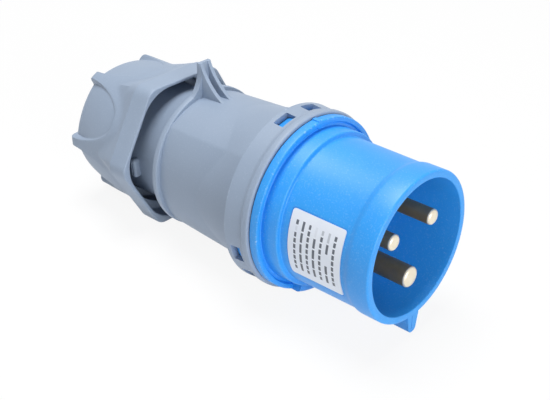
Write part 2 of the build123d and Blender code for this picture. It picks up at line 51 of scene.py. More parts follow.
# Sizes are in mm and angles in degrees, with x 0 at the rim and falling towards the cable end
RIM_R = 28.75
RIM_BORE_R = 25.85
X_RIM_BACK = -8.8
X_SLEEVE = -10.3
SLEEVE_FRONT_R = 28.0
SLEEVE_REAR_R = 28.3
X_STEP = -38.9
STEP_RING_R = 30.2
X_FLANGE = -45.0
X_FLANGE_BACK = -48.4
FLANGE_R = 33.9
FLANGE_GROOVE_R = 32.0
GROOVE_SLOPE = 0.3
X_FLANGE_GROOVE = X_FLANGE - 1.3
X_BASE = -44.0
X_BASE_BACK = -51.0
BASE_BORE_R = 25.55
SKIRT_R = 31.5
SKIRT_BORE_R = 29.3
X_SKIRT_END = -58.6
X_ROOT = X_FLANGE - 1.5
KEY_ROOT = -27.3
KEY_TIP = -35.75
KEY_HALF = 3.2
KEY_TIP_HALF = 1.8
KEY_TIP_ROUND = 1.4
KEY_LINE = (-0.55, -0.35)
KEY_LINE_DEPTH = 0.25
KEY_LINE_REACH = 0.3
X_LUG = -41.2
LUG_ROOT_R = 27.0
LUG_R = 33.85
LUG_SPAN = (154, 202)
LUG_EDGE_FROM = 30.0
LUG_ROUND = 1.3
POINTER_HALF = 1.0
POINTER_ROOT = 31.0
POINTER_TIP = 34.4
POINTER_INSET = 0.05
POINTER_ROUND = 0.3
WINDOW_ANGLES = [third + side for third in (0, 120, 240) for side in (-12, 12)]
X_HOOK = -53.8
X_HOOK_CREST = -55.2
X_HOOK_END = -57.7
HOOK_ROOT = 30.4
HOOK_TOP = 33.1
HOOK_END_TOP = 32.3
HOOK_HALF = 3.5
LABEL_ANGLE = 89.0
POCKET_HALF_ANGLE = 28.4
POCKET_CORNER = 2.3
POCKET_TOP_R = 30.0
X_POCKET_REAR, POCKET_REAR_R = -35.65, 28.07
X_POCKET_FRONT, POCKET_FRONT_R = -11.85, 27.82
# Each pin's clock angle, its radius and the radius of its barrel
PINS = {"line": (60, 3.0, 4.9), "neutral": (300, 3.0, 4.9), "earth": (180, 4.0, 5.6)}
PIN_CIRCLE_R = 13.1
PIN_HOLE_MARGIN = 0.6


def clock(radius, angle):
    """Y and Z at an angle from twelve o'clock, clockwise as seen from the cable end."""
    return -radius * sin(radians(angle)), radius * cos(radians(angle))


def turn(shape, angle):
    """Turns a shape about the plug's axis to a clock angle."""
    about_axis = Matrix.Rotation(radians(angle), 3, "X")
    bmesh.ops.rotate(shape, cent=(0, 0, 0), matrix=about_axis, verts=shape.verts)
    return shape


def lies_at(edge, axis, place):
    """Whether both ends of an edge lie at a place on the x or the z axis."""
    return all(abs(getattr(v.co, axis) - place * MM) < CLOSE for v in edge.verts)


def runs_along(edge):
    """Whether an edge runs along the plug's axis."""
    return abs(edge.verts[0].co.x - edge.verts[1].co.x) > MM


def folds(edge, angle):
    """Whether the two faces beside an edge meet at more than an angle."""
    return edge.calc_face_angle(0.0) > radians(angle)


def rounded(shape, edges, offset, segments=4):
    """Rounds edges of a shape."""
    bmesh.ops.bevel(
        shape, geom=edges, offset=offset * MM, offset_type="OFFSET", segments=segments,
        profile=0.5, affect="EDGES", material=-1, clamp_overlap=True,
    )
    return shape


def ring_of(shape, x, radius):
    """The edges of a turned shape that run round it at one corner of its outline."""
    return [
        edge for edge in shape.edges
        if lies_at(edge, "x", x)
        and all(abs(hypot(*v.co.yz) - radius * MM) < CLOSE for v in edge.verts)
    ]


def turned(outline, steps=TURN_STEPS):
    """Spins (x, radius) corners about the plug's axis, and rounds those with a third value."""
    shape = bmesh.new()
    corners = [shape.verts.new((x * MM, 0, radius * MM)) for x, radius, *_ in outline]
    pairs = zip(corners, corners[1:] + corners[:1])
    sides = [shape.edges.new(pair) for pair in pairs if pair[0].co.z + pair[1].co.z > 0]
    bmesh.ops.spin(
        shape, geom=corners + sides, cent=(0, 0, 0), axis=(1, 0, 0), angle=tau, steps=steps,
        use_merge=True,
    )
    bmesh.ops.remove_doubles(shape, verts=shape.verts, dist=WELD)
    bmesh.ops.recalc_face_normals(shape, faces=shape.faces)
    for x, radius, *rounding in outline:
        if rounding:
            rounded(shape, ring_of(shape, x, radius), rounding[0])
    return shape


def prism(outline, push):
    """A flat outline of points, pushed out into a solid."""
    shape = bmesh.new()
    face = shape.faces.new([shape.verts.new(Vector(point) * MM) for point in outline])
    pushed = bmesh.ops.extrude_face_region(shape, geom=[face])["geom"]
    far = [item for item in pushed if isinstance(item, bmesh.types.BMVert)]
    bmesh.ops.translate(shape, vec=Vector(push) * MM, verts=far)
    bmesh.ops.recalc_face_normals(shape, faces=shape.faces)
    return shape


def block(x_span, y_span, z_span, angle=0.0, rounding=0.0):
    """A block with its edges rounded, turned to a clock angle."""
    (x0, x1), (y0, y1), (z0, z1) = x_span, y_span, z_span
    foot = [(x0, y0, z0), (x1, y0, z0), (x1, y1, z0), (x0, y1, z0)]
    shape = prism(foot, (0, 0, z1 - z0))
    if rounding:
        rounded(shape, shape.edges[:], rounding, segments=3)
    return turn(shape, angle)


def patch(outline, angle_span, corner=0.0, steps=24):
    """A curved plate: an outline of four (x, radius) points swept between two clock angles."""
    shape = bmesh.new()
    corners = [shape.verts.new((x * MM, 0, radius * MM)) for x, radius in outline]
    face = shape.faces.new(corners)
    turn(shape, angle_span[0])
    bmesh.ops.spin(
        shape, geom=[face, *face.edges, *face.verts], cent=(0, 0, 0), axis=(1, 0, 0),
        angle=radians(angle_span[1] - angle_span[0]), steps=steps,
    )
    bmesh.ops.remove_doubles(shape, verts=shape.verts, dist=WELD)
    walls_within = [f for f in shape.faces if all(len(e.link_faces) > 2 for e in f.edges)]
    bmesh.ops.delete(shape, geom=walls_within, context="FACES_ONLY")
    bmesh.ops.recalc_face_normals(shape, faces=shape.faces)
    if corner:
        upright = [
            edge for edge in shape.edges
            if abs(edge.verts[0].co.x - edge.verts[1].co.x) < WELD
            and abs(hypot(*edge.verts[0].co.yz) - hypot(*edge.verts[1].co.yz)) > 0.1 * MM
            and folds(edge, 60)
        ]
        rounded(shape, upright, corner, segments=6)
        bmesh.ops.remove_doubles(shape, verts=shape.verts, dist=WELD)
    return shape


def bored(radius, x_span, y, z):
    """A round bar along the plug's axis, to cut a hole."""
    shape = bmesh.new()
    bmesh.ops.create_cone(
        shape, segments=BORE_STEPS, radius1=radius * MM, radius2=radius * MM,
        depth=(x_span[1] - x_span[0]) * MM, cap_ends=True,
    )
    laid_down = Matrix.Rotation(pi / 2, 3, "Y")
    bmesh.ops.rotate(shape, cent=(0, 0, 0), matrix=laid_down, verts=shape.verts)
    bmesh.ops.translate(shape, vec=Vector((sum(x_span) / 2, y, z)) * MM, verts=shape.verts)
    return shape


def combined(shape, tools, operation):
    """Joins the tool shapes to a shape, or cuts them from it."""
    made = []
    for piece in (shape, *tools):
        mesh = bpy.data.meshes.new("workpiece")
        piece.to_mesh(mesh)
        piece.free()
        made.append(bpy.data.objects.new("workpiece", mesh))
        bpy.context.scene.collection.objects.link(made[-1])
    for tool in made[1:]:
        boolean = made[0].modifiers.new("combined", "BOOLEAN")
        boolean.operation = operation
        boolean.solver = "EXACT"
        boolean.object = tool
    graph = bpy.context.evaluated_depsgraph_get()
    result = bmesh.new()
    result.from_object(made[0], graph)
    for piece in made:
        bpy.data.meshes.remove(piece.data)
    bmesh.ops.remove_doubles(result, verts=result.verts, dist=WELD)
    many_sided = [face for face in result.faces if len(face.verts) > 4]
    bmesh.ops.triangulate(result, faces=many_sided, ngon_method="EAR_CLIP")
    return result


def finished(name, shape, material, body, slot, *nodes):
    """Makes a shape a smooth piece of the model that rides on a body and stands for CAD nodes."""
    mesh = bpy.data.meshes.new(name)
    shape.to_mesh(mesh)
    shape.free()
    mesh.polygons.foreach_set("use_smooth", [True] * len(mesh.polygons))
    mesh.set_sharp_from_angle(angle=SMOOTH_LIMIT)
    mesh.materials.append(material)
    piece = bpy.data.objects.new(name, mesh)
    bpy.context.scene.collection.objects.link(piece)
    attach(piece, body)
    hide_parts(*nodes)
    return piece


def linear(hex_colour):
    """A linear RGBA colour from an sRGB hex value."""
    parts = [int(hex_colour[i : i + 2], 16) / 255 for i in (1, 3, 5)]
    return [p / 12.92 if p <= 0.04045 else ((p + 0.055) / 1.055) ** 2.4 for p in parts] + [1.0]


def add(tree, kind, inputs, **settings):
    """Adds a node with its settings, and sets or links its inputs."""
    made = tree.nodes.new(kind)
    for name, value in settings.items():
        setattr(made, name, value)
    for name, value in inputs.items():
        if isinstance(value, bpy.types.NodeSocket):
            tree.links.new(value, made.inputs[name])
        else:
            made.inputs[name].default_value = value
    return made


def empty_material(name):
    """A new material with no nodes, and its node tree."""
    material = bpy.data.materials.new(name)
    material.use_nodes = True
    material.node_tree.nodes.clear()
    return material, material.node_tree


def paint_wear_and_highlight(tree, place, colour, pale_hex, edges):
    """Pales a colour in spots along turned edges (x, radius), as wear and as a painted highlight.
    """
    axes = add(tree, "ShaderNodeSeparateXYZ", {"Vector": place})
    across = add(tree, "ShaderNodeCombineXYZ", {"Y": axes.outputs["Y"], "Z": axes.outputs["Z"]})
    radius = add(tree, "ShaderNodeVectorMath", {0: across.outputs[0]}, operation="LENGTH")
    section = add(
        tree, "ShaderNodeCombineXYZ", {"X": axes.outputs["X"], "Y": radius.outputs["Value"]}
    )
    pale_spot_noise = add(
        tree, "ShaderNodeTexNoise",
        {"Vector": place, "Scale": 1 / (1.6 * MM), "Detail": 3.0, "Roughness": 0.6},
    )
    pale_spot_share = add(
        tree, "ShaderNodeMapRange",
        {"Value": pale_spot_noise.outputs["Fac"], "From Min": 0.58, "From Max": 0.72, "To Max": 0.7},
    )
    for x, edge_r in edges:
        gap = add(
            tree, "ShaderNodeVectorMath",
            {0: section.outputs[0], 1: (x * MM, edge_r * MM, 0)}, operation="DISTANCE",
        )
        near = add(
            tree, "ShaderNodeMapRange",
            {"Value": gap.outputs["Value"], "From Min": 0.8 * MM, "From Max": 0.3 * MM},
        )
        wear_and_highlight_share = add(
            tree, "ShaderNodeMath", {0: near.outputs[0], 1: pale_spot_share.outputs[0]},
            operation="MULTIPLY",
        )
        colour = add(
            tree, "ShaderNodeMix",
            {"Factor": wear_and_highlight_share.outputs[0], "A": colour, "B": linear(pale_hex)}, data_type="RGBA",
        ).outputs[2]
    return colour


def moulded_polyamide(name, body_hex, pale_hex, deep_hex, roughness, worn_and_highlit_edges=()):
    """Polyamide from a spark-eroded mould: matte, with a fine even grain and a soft sheen."""
    # The grain is about 0.1 mm on the real moulding, and is drawn at 0.6 mm so that it shows
    material, tree = empty_material(name)
    place = add(tree, "ShaderNodeTexCoord", {}).outputs["Object"]
    grain = add(
        tree, "ShaderNodeTexNoise",
        {"Vector": place, "Scale": 1 / (0.6 * MM), "Detail": 2.0, "Roughness": 0.6},
    ).outputs["Fac"]
    flow = add(
        tree, "ShaderNodeTexNoise",
        {"Vector": place, "Scale": 1 / (14 * MM), "Detail": 3.0, "Roughness": 0.55},
    ).outputs["Fac"]
    tone = add(
        tree, "ShaderNodeMix", {"Factor": flow, "A": linear(deep_hex), "B": linear(body_hex)},
        data_type="RGBA",
    )
    speck = add(
        tree, "ShaderNodeMapRange",
        {"Value": grain, "From Min": 0.55, "From Max": 0.85, "To Max": 0.3},
    )
    colour = add(
        tree, "ShaderNodeMix",
        {"Factor": speck.outputs[0], "A": tone.outputs[2], "B": linear(pale_hex)},
        data_type="RGBA",
    ).outputs[2]
    # Edges that are given are painted pale in spots, partly as wear and partly as a painted
    # highlight
    if worn_and_highlit_edges:
        colour = paint_wear_and_highlight(tree, place, colour, pale_hex, worn_and_highlit_edges)
    dull = add(
        tree, "ShaderNodeMapRange",
        {
            "Value": grain, "From Min": 0.3, "From Max": 0.7,
            "To Min": roughness - 0.06, "To Max": roughness + 0.08,
        },
    )
    bump = add(
        tree, "ShaderNodeBump", {"Strength": 0.5, "Distance": 0.05 * MM, "Height": grain}
    )
    surface = add(
        tree, "ShaderNodeBsdfPrincipled",
        {
            "Base Color": colour, "Roughness": dull.outputs[0], "Normal": bump.outputs[0],
            "IOR": 1.53,
        },
    )
    add(tree, "ShaderNodeOutputMaterial", {"Surface": surface.outputs[0]})
    return material


# The flange's front edge is painted pale in spots, as wear and as a painted highlight
blue_polyamide = moulded_polyamide(
    "moulded_blue_polyamide", "#2f9def", "#b4dcff", "#2694e8", 0.42,
    worn_and_highlit_edges=[(X_FLANGE, FLANGE_R)],
)
shroud_body = turned(
    [
        (0, RIM_BORE_R, 0.35),
        (0, RIM_R, 0.8),
        (X_RIM_BACK, RIM_R, 0.9),
        (X_SLEEVE, SLEEVE_FRONT_R, 0.9),
        (X_STEP, SLEEVE_REAR_R, 0.5),
        (X_STEP, STEP_RING_R, 0.6),
        (X_FLANGE_GROOVE, STEP_RING_R, 0.4),
        (X_FLANGE_GROOVE, FLANGE_GROOVE_R - GROOVE_SLOPE, 0.4),
        (X_FLANGE, FLANGE_GROOVE_R, 0.3),
        (X_FLANGE, FLANGE_R, 0.45),
        (X_FLANGE_BACK, FLANGE_R, 0.3),
        (X_FLANGE_BACK, SKIRT_R),
        (X_SKIRT_END, SKIRT_R, 0.4),
        (X_SKIRT_END, SKIRT_BORE_R, 0.4),
        (X_BASE_BACK, SKIRT_BORE_R),
        (X_BASE_BACK, 0),
        (X_BASE, 0),
        (X_BASE, BASE_BORE_R, 0.8),
    ]
)
key_section = [
    (-KEY_HALF, KEY_ROOT), (KEY_HALF, KEY_ROOT), (KEY_HALF, -RIM_R),
    (KEY_TIP_HALF, KEY_TIP), (-KEY_TIP_HALF, KEY_TIP), (-KEY_HALF, -RIM_R),
]
key = prism([(0, y, z) for y, z in key_section], (X_ROOT, 0, 0))
key_tip = [edge for edge in key.edges if lies_at(edge, "z", KEY_TIP) and runs_along(edge)]
rounded(key, key_tip, KEY_TIP_ROUND, segments=5)
lug = patch([(X_ROOT, LUG_ROOT_R), (X_LUG, LUG_ROOT_R), (X_LUG, LUG_R), (X_ROOT, LUG_R)], LUG_SPAN)
lug_edges = [
    edge for edge in lug.edges
    if folds(edge, 40)
    and all(hypot(*v.co.yz) > LUG_EDGE_FROM * MM and v.co.x > X_FLANGE * MM for v in edge.verts)
]
rounded(lug, lug_edges, LUG_ROUND, segments=6)
pointer = block(
    (X_FLANGE_BACK + POINTER_INSET, X_FLANGE - POINTER_INSET), (-POINTER_HALF, POINTER_HALF),
    (POINTER_ROOT, POINTER_TIP), rounding=POINTER_ROUND,
)
hook_section = [
    (X_HOOK, HOOK_ROOT), (X_HOOK, HOOK_TOP), (X_HOOK_CREST, HOOK_TOP),
    (X_HOOK_END, HOOK_END_TOP), (X_HOOK_END, HOOK_ROOT),
]
hooks = [
    turn(prism([(x, HOOK_HALF, z) for x, z in hook_section], (0, -2 * HOOK_HALF, 0)), angle)
    for angle in WINDOW_ANGLES
]
shroud_body = combined(shroud_body, [key, lug, pointer, *hooks], "UNION")
pocket = patch(
    [
        (X_POCKET_REAR, POCKET_REAR_R), (X_POCKET_FRONT, POCKET_FRONT_R),
        (X_POCKET_FRONT, POCKET_TOP_R), (X_POCKET_REAR, POCKET_TOP_R),
    ],
    (LABEL_ANGLE - POCKET_HALF_ANGLE, LABEL_ANGLE + POCKET_HALF_ANGLE), corner=POCKET_CORNER,
)
key_line = block(
    (-KEY_LINE_DEPTH, OVERCUT), KEY_LINE, (KEY_TIP - OVERCUT, -RIM_R + KEY_LINE_REACH)
)
through_base = (X_BASE_BACK - OVERCUT, X_BASE + OVERCUT)
pin_holes = [
    bored(pin_r + PIN_HOLE_MARGIN, through_base, *clock(PIN_CIRCLE_R, angle))
    for angle, pin_r, _ in PINS.values()
]
shroud_body = combined(shroud_body, [pocket, key_line, *pin_holes], "DIFFERENCE")
finished("moulded_shroud", shroud_body, blue_polyamide, "plug", "blue_polyamide", "shroud")

# Label: white polyester film, printed in dark grey, stuck in a shallow pocket on the sleeve.
# The print is plain bars in rows that run round the sleeve.
FILM_HALF_ANGLE = 27.5
FILM_CORNER = 2.0
FILM_THICKNESS = 0.3
X_FILM_REAR, FILM_REAR_R = -35.3, 28.06
X_FILM_FRONT, FILM_FRONT_R = -12.2, 27.82
X_PRINT = -23.8
PRINT_HALF_LENGTH = 9.8
PRINT_ANGLE = 88.8
PRINT_HALF_ANGLE = 21.3
PRINT_STRETCH = 3.0
BAR_LENGTH = 12.5
ROW_HEIGHT = 2.8
ROW_GAP = 0.95


def printed_film():
    """White film with a faint mottle, under rows of grey bars that stop short of its edges."""
    material, tree = empty_material("printed_polyester_film")
    place = add(tree, "ShaderNodeTexCoord", {}).outputs["Object"]
    axes = add(tree, "ShaderNodeSeparateXYZ", {"Vector": place})
    back_y = add(tree, "ShaderNodeMath", {0: axes.outputs["Y"], 1: -1.0}, operation="MULTIPLY")
    around = add(
        tree, "ShaderNodeMath", {0: back_y.outputs[0], 1: axes.outputs["Z"]}, operation="ARCTAN2"
    ).outputs[0]
    arc = add(
        tree, "ShaderNodeMath", {0: around, 1: SLEEVE_REAR_R * PRINT_STRETCH * MM},
        operation="MULTIPLY",
    )
    sheet = add(tree, "ShaderNodeCombineXYZ", {"X": arc.outputs[0], "Y": axes.outputs["X"]})
    bars = add(
        tree, "ShaderNodeTexBrick",
        {
            "Vector": sheet.outputs[0], "Color1": linear("#000000"), "Color2": linear("#ffffff"),
            "Mortar": linear("#ffffff"), "Scale": 1 / MM, "Mortar Size": ROW_GAP,
            "Mortar Smooth": 0.15, "Bias": -0.3, "Brick Width": BAR_LENGTH,
            "Row Height": ROW_HEIGHT,
        },
        offset=0.37, offset_frequency=2, squash=0.55, squash_frequency=2,
    )
    ink = add(
        tree, "ShaderNodeMapRange",
        {"Value": bars.outputs["Color"], "From Min": 0.66, "From Max": 0.6},
    )
    in_arc = add(
        tree, "ShaderNodeMath", {0: around, 1: radians(PRINT_ANGLE), 2: radians(PRINT_HALF_ANGLE)},
        operation="COMPARE",
    )
    in_rows = add(
        tree, "ShaderNodeMath",
        {0: axes.outputs["X"], 1: X_PRINT * MM, 2: PRINT_HALF_LENGTH * MM}, operation="COMPARE",
    )
    in_print = add(
        tree, "ShaderNodeMath", {0: in_arc.outputs[0], 1: in_rows.outputs[0]},
        operation="MULTIPLY",
    )
    printed = add(
        tree, "ShaderNodeMath", {0: ink.outputs[0], 1: in_print.outputs[0]}, operation="MULTIPLY"
    )
    mottle = add(
        tree, "ShaderNodeTexNoise",
        {"Vector": place, "Scale": 1 / (6 * MM), "Detail": 2.0, "Roughness": 0.5},
    ).outputs["Fac"]
    white = add(
        tree, "ShaderNodeMix",
        {"Factor": mottle, "A": linear("#dde4f0"), "B": linear("#e6ecf5")}, data_type="RGBA",
    )
    colour = add(
        tree, "ShaderNodeMix",
        {"Factor": printed.outputs[0], "A": white.outputs[2], "B": linear("#5a616c")},
        data_type="RGBA",
    )
    dull = add(tree, "ShaderNodeMapRange", {"Value": mottle, "To Min": 0.3, "To Max": 0.42})
    surface = add(
        tree, "ShaderNodeBsdfPrincipled",
        {"Base Color": colour.outputs[2], "Roughness": dull.outputs[0], "IOR": 1.57},
    )
    add(tree, "ShaderNodeOutputMaterial", {"Surface": surface.outputs[0]})
    return material


film = patch(
    [
        (X_FILM_REAR, FILM_REAR_R), (X_FILM_FRONT, FILM_FRONT_R),
        (X_FILM_FRONT, FILM_FRONT_R + FILM_THICKNESS), (X_FILM_REAR, FILM_REAR_R + FILM_THICKNESS),
    ],
    (LABEL_ANGLE - FILM_HALF_ANGLE, LABEL_ANGLE + FILM_HALF_ANGLE), corner=FILM_CORNER,
)
finished("printed_label", film, printed_film(), "plug", "label_film", "label")

# Pins: three contacts turned from brass bar, with painted shade on the shank and a painted
# highlight on the tip.
# Each has a collar that seats behind the shroud's base, and a barrel bored for the conductor.
PIN_STEPS = 64
X_PIN_TIP = -2.0
X_TIP_END = -3.2
X_COLLAR_BACK = -54.0
X_BARREL_END = -78.0
X_BORE_END = -62.0
PIN_BORE_R = 2.8
BASE_FIT = 0.5
COLLAR = 2.4
SCREW_STATIONS = (-73.8, -66.4)
SCREW_HOLE_R = 2.0
SCREW_HOLE_STEPS = 32


def turned_brass():
    """Brass with fine lathe rings: mottled, with painted shade on the shank and a painted highlight
    on the tip.
    """
    material, tree = empty_material("turned_brass")
    place = add(tree, "ShaderNodeTexCoord", {}).outputs["Object"]
    axes = add(tree, "ShaderNodeSeparateXYZ", {"Vector": place})
    stretch = add(tree, "ShaderNodeMapping", {"Vector": place, "Scale": (1.0, 0.12, 0.12)})
    rings = add(
        tree, "ShaderNodeTexNoise",
        {"Vector": stretch.outputs[0], "Scale": 1 / (0.3 * MM), "Detail": 3.0, "Roughness": 0.6},
    ).outputs["Fac"]
    shank_mottle = add(
        tree, "ShaderNodeTexNoise",
        {"Vector": place, "Scale": 1 / (5 * MM), "Detail": 4.0, "Roughness": 0.6},
    ).outputs["Fac"]
    # The shank is painted dark as shade and the tip pale as a highlight, switched at the tip's end
    shaded_shank_colour = add(
        tree, "ShaderNodeMix",
        {"Factor": shank_mottle, "A": linear("#776c56"), "B": linear("#a38f68")}, data_type="RGBA",
    )
    lit_tip_colour = add(
        tree, "ShaderNodeMix",
        {"Factor": rings, "A": linear("#e3d7bd"), "B": linear("#f2ead8")}, data_type="RGBA",
    )
    at_lit_tip = add(
        tree, "ShaderNodeMapRange",
        {
            "Value": axes.outputs["X"], "From Min": X_TIP_END * MM,
            "From Max": (X_TIP_END + 0.3) * MM,
        },
    )
    colour = add(
        tree, "ShaderNodeMix",
        {"Factor": at_lit_tip.outputs[0], "A": shaded_shank_colour.outputs[2], "B": lit_tip_colour.outputs[2]},
        data_type="RGBA",
    )
    dull = add(tree, "ShaderNodeMapRange", {"Value": rings, "To Min": 0.28, "To Max": 0.48})
    bump = add(
        tree, "ShaderNodeBump", {"Strength": 0.25, "Distance": 0.02 * MM, "Height": rings}
    )
    surface = add(
        tree, "ShaderNodeBsdfPrincipled",
        {
            "Base Color": colour.outputs[2], "Roughness": dull.outputs[0], "Metallic": 0.6,
            "Normal": bump.outputs[0],
        },
    )
    add(tree, "ShaderNodeOutputMaterial", {"Surface": surface.outputs[0]})
    return material


pin_brass = turned_brass()
for name, (angle, pin_r, barrel_r) in PINS.items():
    pin = turned(
        [
            (X_PIN_TIP, 0),
            (X_PIN_TIP, pin_r, 1.1),
            (X_BASE, pin_r),
            (X_BASE, pin_r + BASE_FIT),
            (X_BASE_BACK, pin_r + BASE_FIT),
            (X_BASE_BACK, pin_r + COLLAR, 0.2),
            (X_COLLAR_BACK, pin_r + COLLAR, 0.2),
            (X_COLLAR_BACK, barrel_r),
            (X_BARREL_END, barrel_r, 0.6),
            (X_BARREL_END, PIN_BORE_R),
            (X_BORE_END, PIN_BORE_R),
            (X_BORE_END, 0),
        ],
        steps=PIN_STEPS,
    )
    screw_holes = []
    hole_depth = barrel_r + OVERCUT
    for station in SCREW_STATIONS:
        hole = bmesh.new()
        bmesh.ops.create_cone(
            hole, segments=SCREW_HOLE_STEPS, radius1=SCREW_HOLE_R * MM, radius2=SCREW_HOLE_R * MM,
            depth=hole_depth * MM, cap_ends=True,
        )
        bmesh.ops.translate(hole, vec=Vector((station, 0, hole_depth / 2)) * MM, verts=hole.verts)
        screw_holes.append(turn(hole, angle))
    pin = combined(pin, screw_holes, "DIFFERENCE")
    bmesh.ops.translate(pin, vec=Vector((0, *clock(PIN_CIRCLE_R, angle))) * MM, verts=pin.verts)
    finished(f"turned_{name}_pin", pin, pin_brass, "plug", "brass", f"{name}_pin")

# Screws: slotted terminal screws in the pins, and three slotted screws that hold the carrier.
# Cold-headed steel, zinc plated, which leaves a pale, slightly cloudy metal.


def dressed(material, *names):
    """Gives CAD nodes a finished material."""
    for name in names:
        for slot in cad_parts[name].material_slots:
            slot.material = material


def zinc_plated_steel():
    """Pale plated metal, clouded in both its colour and its gloss."""
    material, tree = empty_material("zinc_plated_steel")
    place = add(tree, "ShaderNodeTexCoord", {}).outputs["Object"]
    cloud = add(
        tree, "ShaderNodeTexNoise",
        {"Vector": place, "Scale": 1 / (1.2 * MM), "Detail": 3.0, "Roughness": 0.6},
    ).outputs["Fac"]
    colour = add(
        tree, "ShaderNodeMix",
        {"Factor": cloud, "A": linear("#b9bcbd"), "B": linear("#d3d4d1")}, data_type="RGBA",
    )
    dull = add(tree, "ShaderNodeMapRange", {"Value": cloud, "To Min": 0.25, "To Max": 0.45})
    surface = add(
        tree, "ShaderNodeBsdfPrincipled",
        {"Base Color": colour.outputs[2], "Roughness": dull.outputs[0], "Metallic": 1.0},
    )
    add(tree, "ShaderNodeOutputMaterial", {"Surface": surface.outputs[0]})
    return material


terminal_screws = [f"{name}_{end}_screw" for name in PINS for end in ("front", "rear")]
dressed(zinc_plated_steel(), "carrier_screws", *terminal_screws)

# Contact carrier: the disc behind the shroud's base that keeps the pins in, with three barriers.
# An injection moulding in black polyamide, held by its three screws.
black_polyamide = moulded_polyamide(
    "moulded_black_polyamide", "#34363b", "#53565c", "#2b2d31", 0.45
)
dressed(black_polyamide, "contact_carrier")

# Seals: a flat ring between the flange and the housing, and the sleeve that grips the cable.
# Moulded rubber, black and dull, with a faint bloom.


def moulded_rubber():
    """Dull black rubber, greyed in patches by its bloom."""
    material, tree = empty_material("moulded_rubber")
    place = add(tree, "ShaderNodeTexCoord", {}).outputs["Object"]
    bloom = add(
        tree, "ShaderNodeTexNoise",
        {"Vector": place, "Scale": 1 / (3 * MM), "Detail": 4.0, "Roughness": 0.65},
    ).outputs["Fac"]
    colour = add(
        tree, "ShaderNodeMix",
        {"Factor": bloom, "A": linear("#1f2226"), "B": linear("#34383d")}, data_type="RGBA",
    )
    dull = add(tree, "ShaderNodeMapRange", {"Value": bloom, "To Min": 0.6, "To Max": 0.8})
    surface = add(
        tree, "ShaderNodeBsdfPrincipled",
        {"Base Color": colour.outputs[2], "Roughness": dull.outputs[0]},
    )
    add(tree, "ShaderNodeOutputMaterial", {"Surface": surface.outputs[0]})
    return material


dressed(moulded_rubber(), "housing_seal", "gland_seal")

# Housing: the grey handle, with a windowed ring in front, a faceted grip, a tail lip with a horn,
# and the neck that the gland nut screws on. One injection moulding in grey polyamide.
HOUSING_STEPS = 240
X_RING = -48.8
RING_R = 35.0
RING_CHAMFER = 0.5
RING_LAND = 2.6
RING_VALLEY = 3.5
RING_VALLEY_R = 34.3
RING_BAND_R = 34.95
RING_BACK_DROP = 1.5
X_RING_BAND_END = -60.0
X_RING_BACK = -61.0
X_TAIL = -102.5
X_TAIL_BACK = -105.0
TAIL_R = 29.2
NECK_R = 24.0
X_NECK_END = -136.0
GLAND_BORE_R = 19.5
X_GLAND_SEAT = -120.5
CABLE_WAY_R = 16.5
X_WIRING_END = -100.0
WIRING_REAR_R = 24.8
X_WIRING = -59.3
WIRING_FRONT_R = 26.6
SKIRT_SEAT_R = 31.7
X_SEAL_SEAT = -50.2
SEAL_SEAT_R = 33.2
WINDOW_X = (-58.0, -53.6)
WINDOW_HALF = 3.7
WINDOW_CUT = (28.0, 40.0)
NUB_ANGLES = (94, 274)
NUB_X = (-121.5, -118.5)
NUB_HALF = 4.0
NUB_ROOT = 22.0
NUB_TOP = 26.5
NUB_ROUND = 1.1
NUB_GROOVE_X = (-120.35, -119.65)
NUB_GROOVE_HALF = 2.8
NUB_GROOVE_CUT = (25.9, 28.0)
# The grip starts as a round bar with a hair of taper, whose rings are then led to its four facets
GRIP_BLANK_R = 28.0
GRIP_BLANK_TAPER = 0.001
GRIP_STATIONS = 56
FLARE_LENGTH = 31.0
# Radii at the middle of a facet and at its creases
GRIP_REAR = (27.2, 28.7)
GRIP_FRONT = (29.0, 30.7)
FLARE_LOW = (26.5, 25.1)
FLARE_HIGH = (31.2, 32.7)
# The horn's plate rises out of the tail lip with hollow sides, and two ribs with hollow fronts
# stay it
HORN_ROOT = 26.0
HORN_FOOT_HALF, HORN_FOOT = 7.5, 28.2
HORN_WAIST_HALF, HORN_WAIST = 3.1, 32.2
HORN_TOP_HALF, HORN_TOP = 3.0, 40.6
HORN_HOLLOW_ROUND = 4.6
HORN_TAPER = 1.1
HORN_EDGE_FROM = 29.5
HORN_EDGE_ROUND = 0.35
RIB_INNER = 1.3
RIB_WIDTH = 1.8
RIB_INSET = 0.1
X_RIB_FOOT, RIB_FOOT = -91.5, 27.4
X_RIB_HOLLOW, RIB_HOLLOW = -100.1, 31.4
X_RIB_TOP = -103.3
RIB_HOLLOW_ROUND = 9.3
RIB_DRAFT = 0.02
RIB_EDGE_FROM = 26.5
RIB_EDGE_ROUND = 0.3


def facet_radius(angle, mid_r, corner_r):
    """Radius at an angle from a facet's middle, on the arc through its middle and its creases."""
    offset = (corner_r**2 - mid_r**2) / (2 * (mid_r - corner_r * cos(pi / 4)))
    return -offset * cos(angle) + sqrt((mid_r + offset) ** 2 - (offset * sin(angle)) ** 2)


def grip_radius(x, angle):
    """Outer radius of the grip: straight facets, and the flare towards the ring."""
    from_middle = (angle + pi / 4) % (pi / 2) - pi / 4
    share = (x - X_TAIL) / (X_RING_BACK - X_TAIL)
    rear = facet_radius(from_middle, *GRIP_REAR)
    front = facet_radius(from_middle, *GRIP_FRONT)
    radius = rear + (front - rear) * share
    flare_share = (x - X_RING_BACK + FLARE_LENGTH) / FLARE_LENGTH
    if flare_share > 0:
        low = facet_radius(from_middle, *FLARE_LOW)
        high = facet_radius(from_middle, *FLARE_HIGH)
        radius = max(radius, low + (high - low) * flare_share)
    return radius
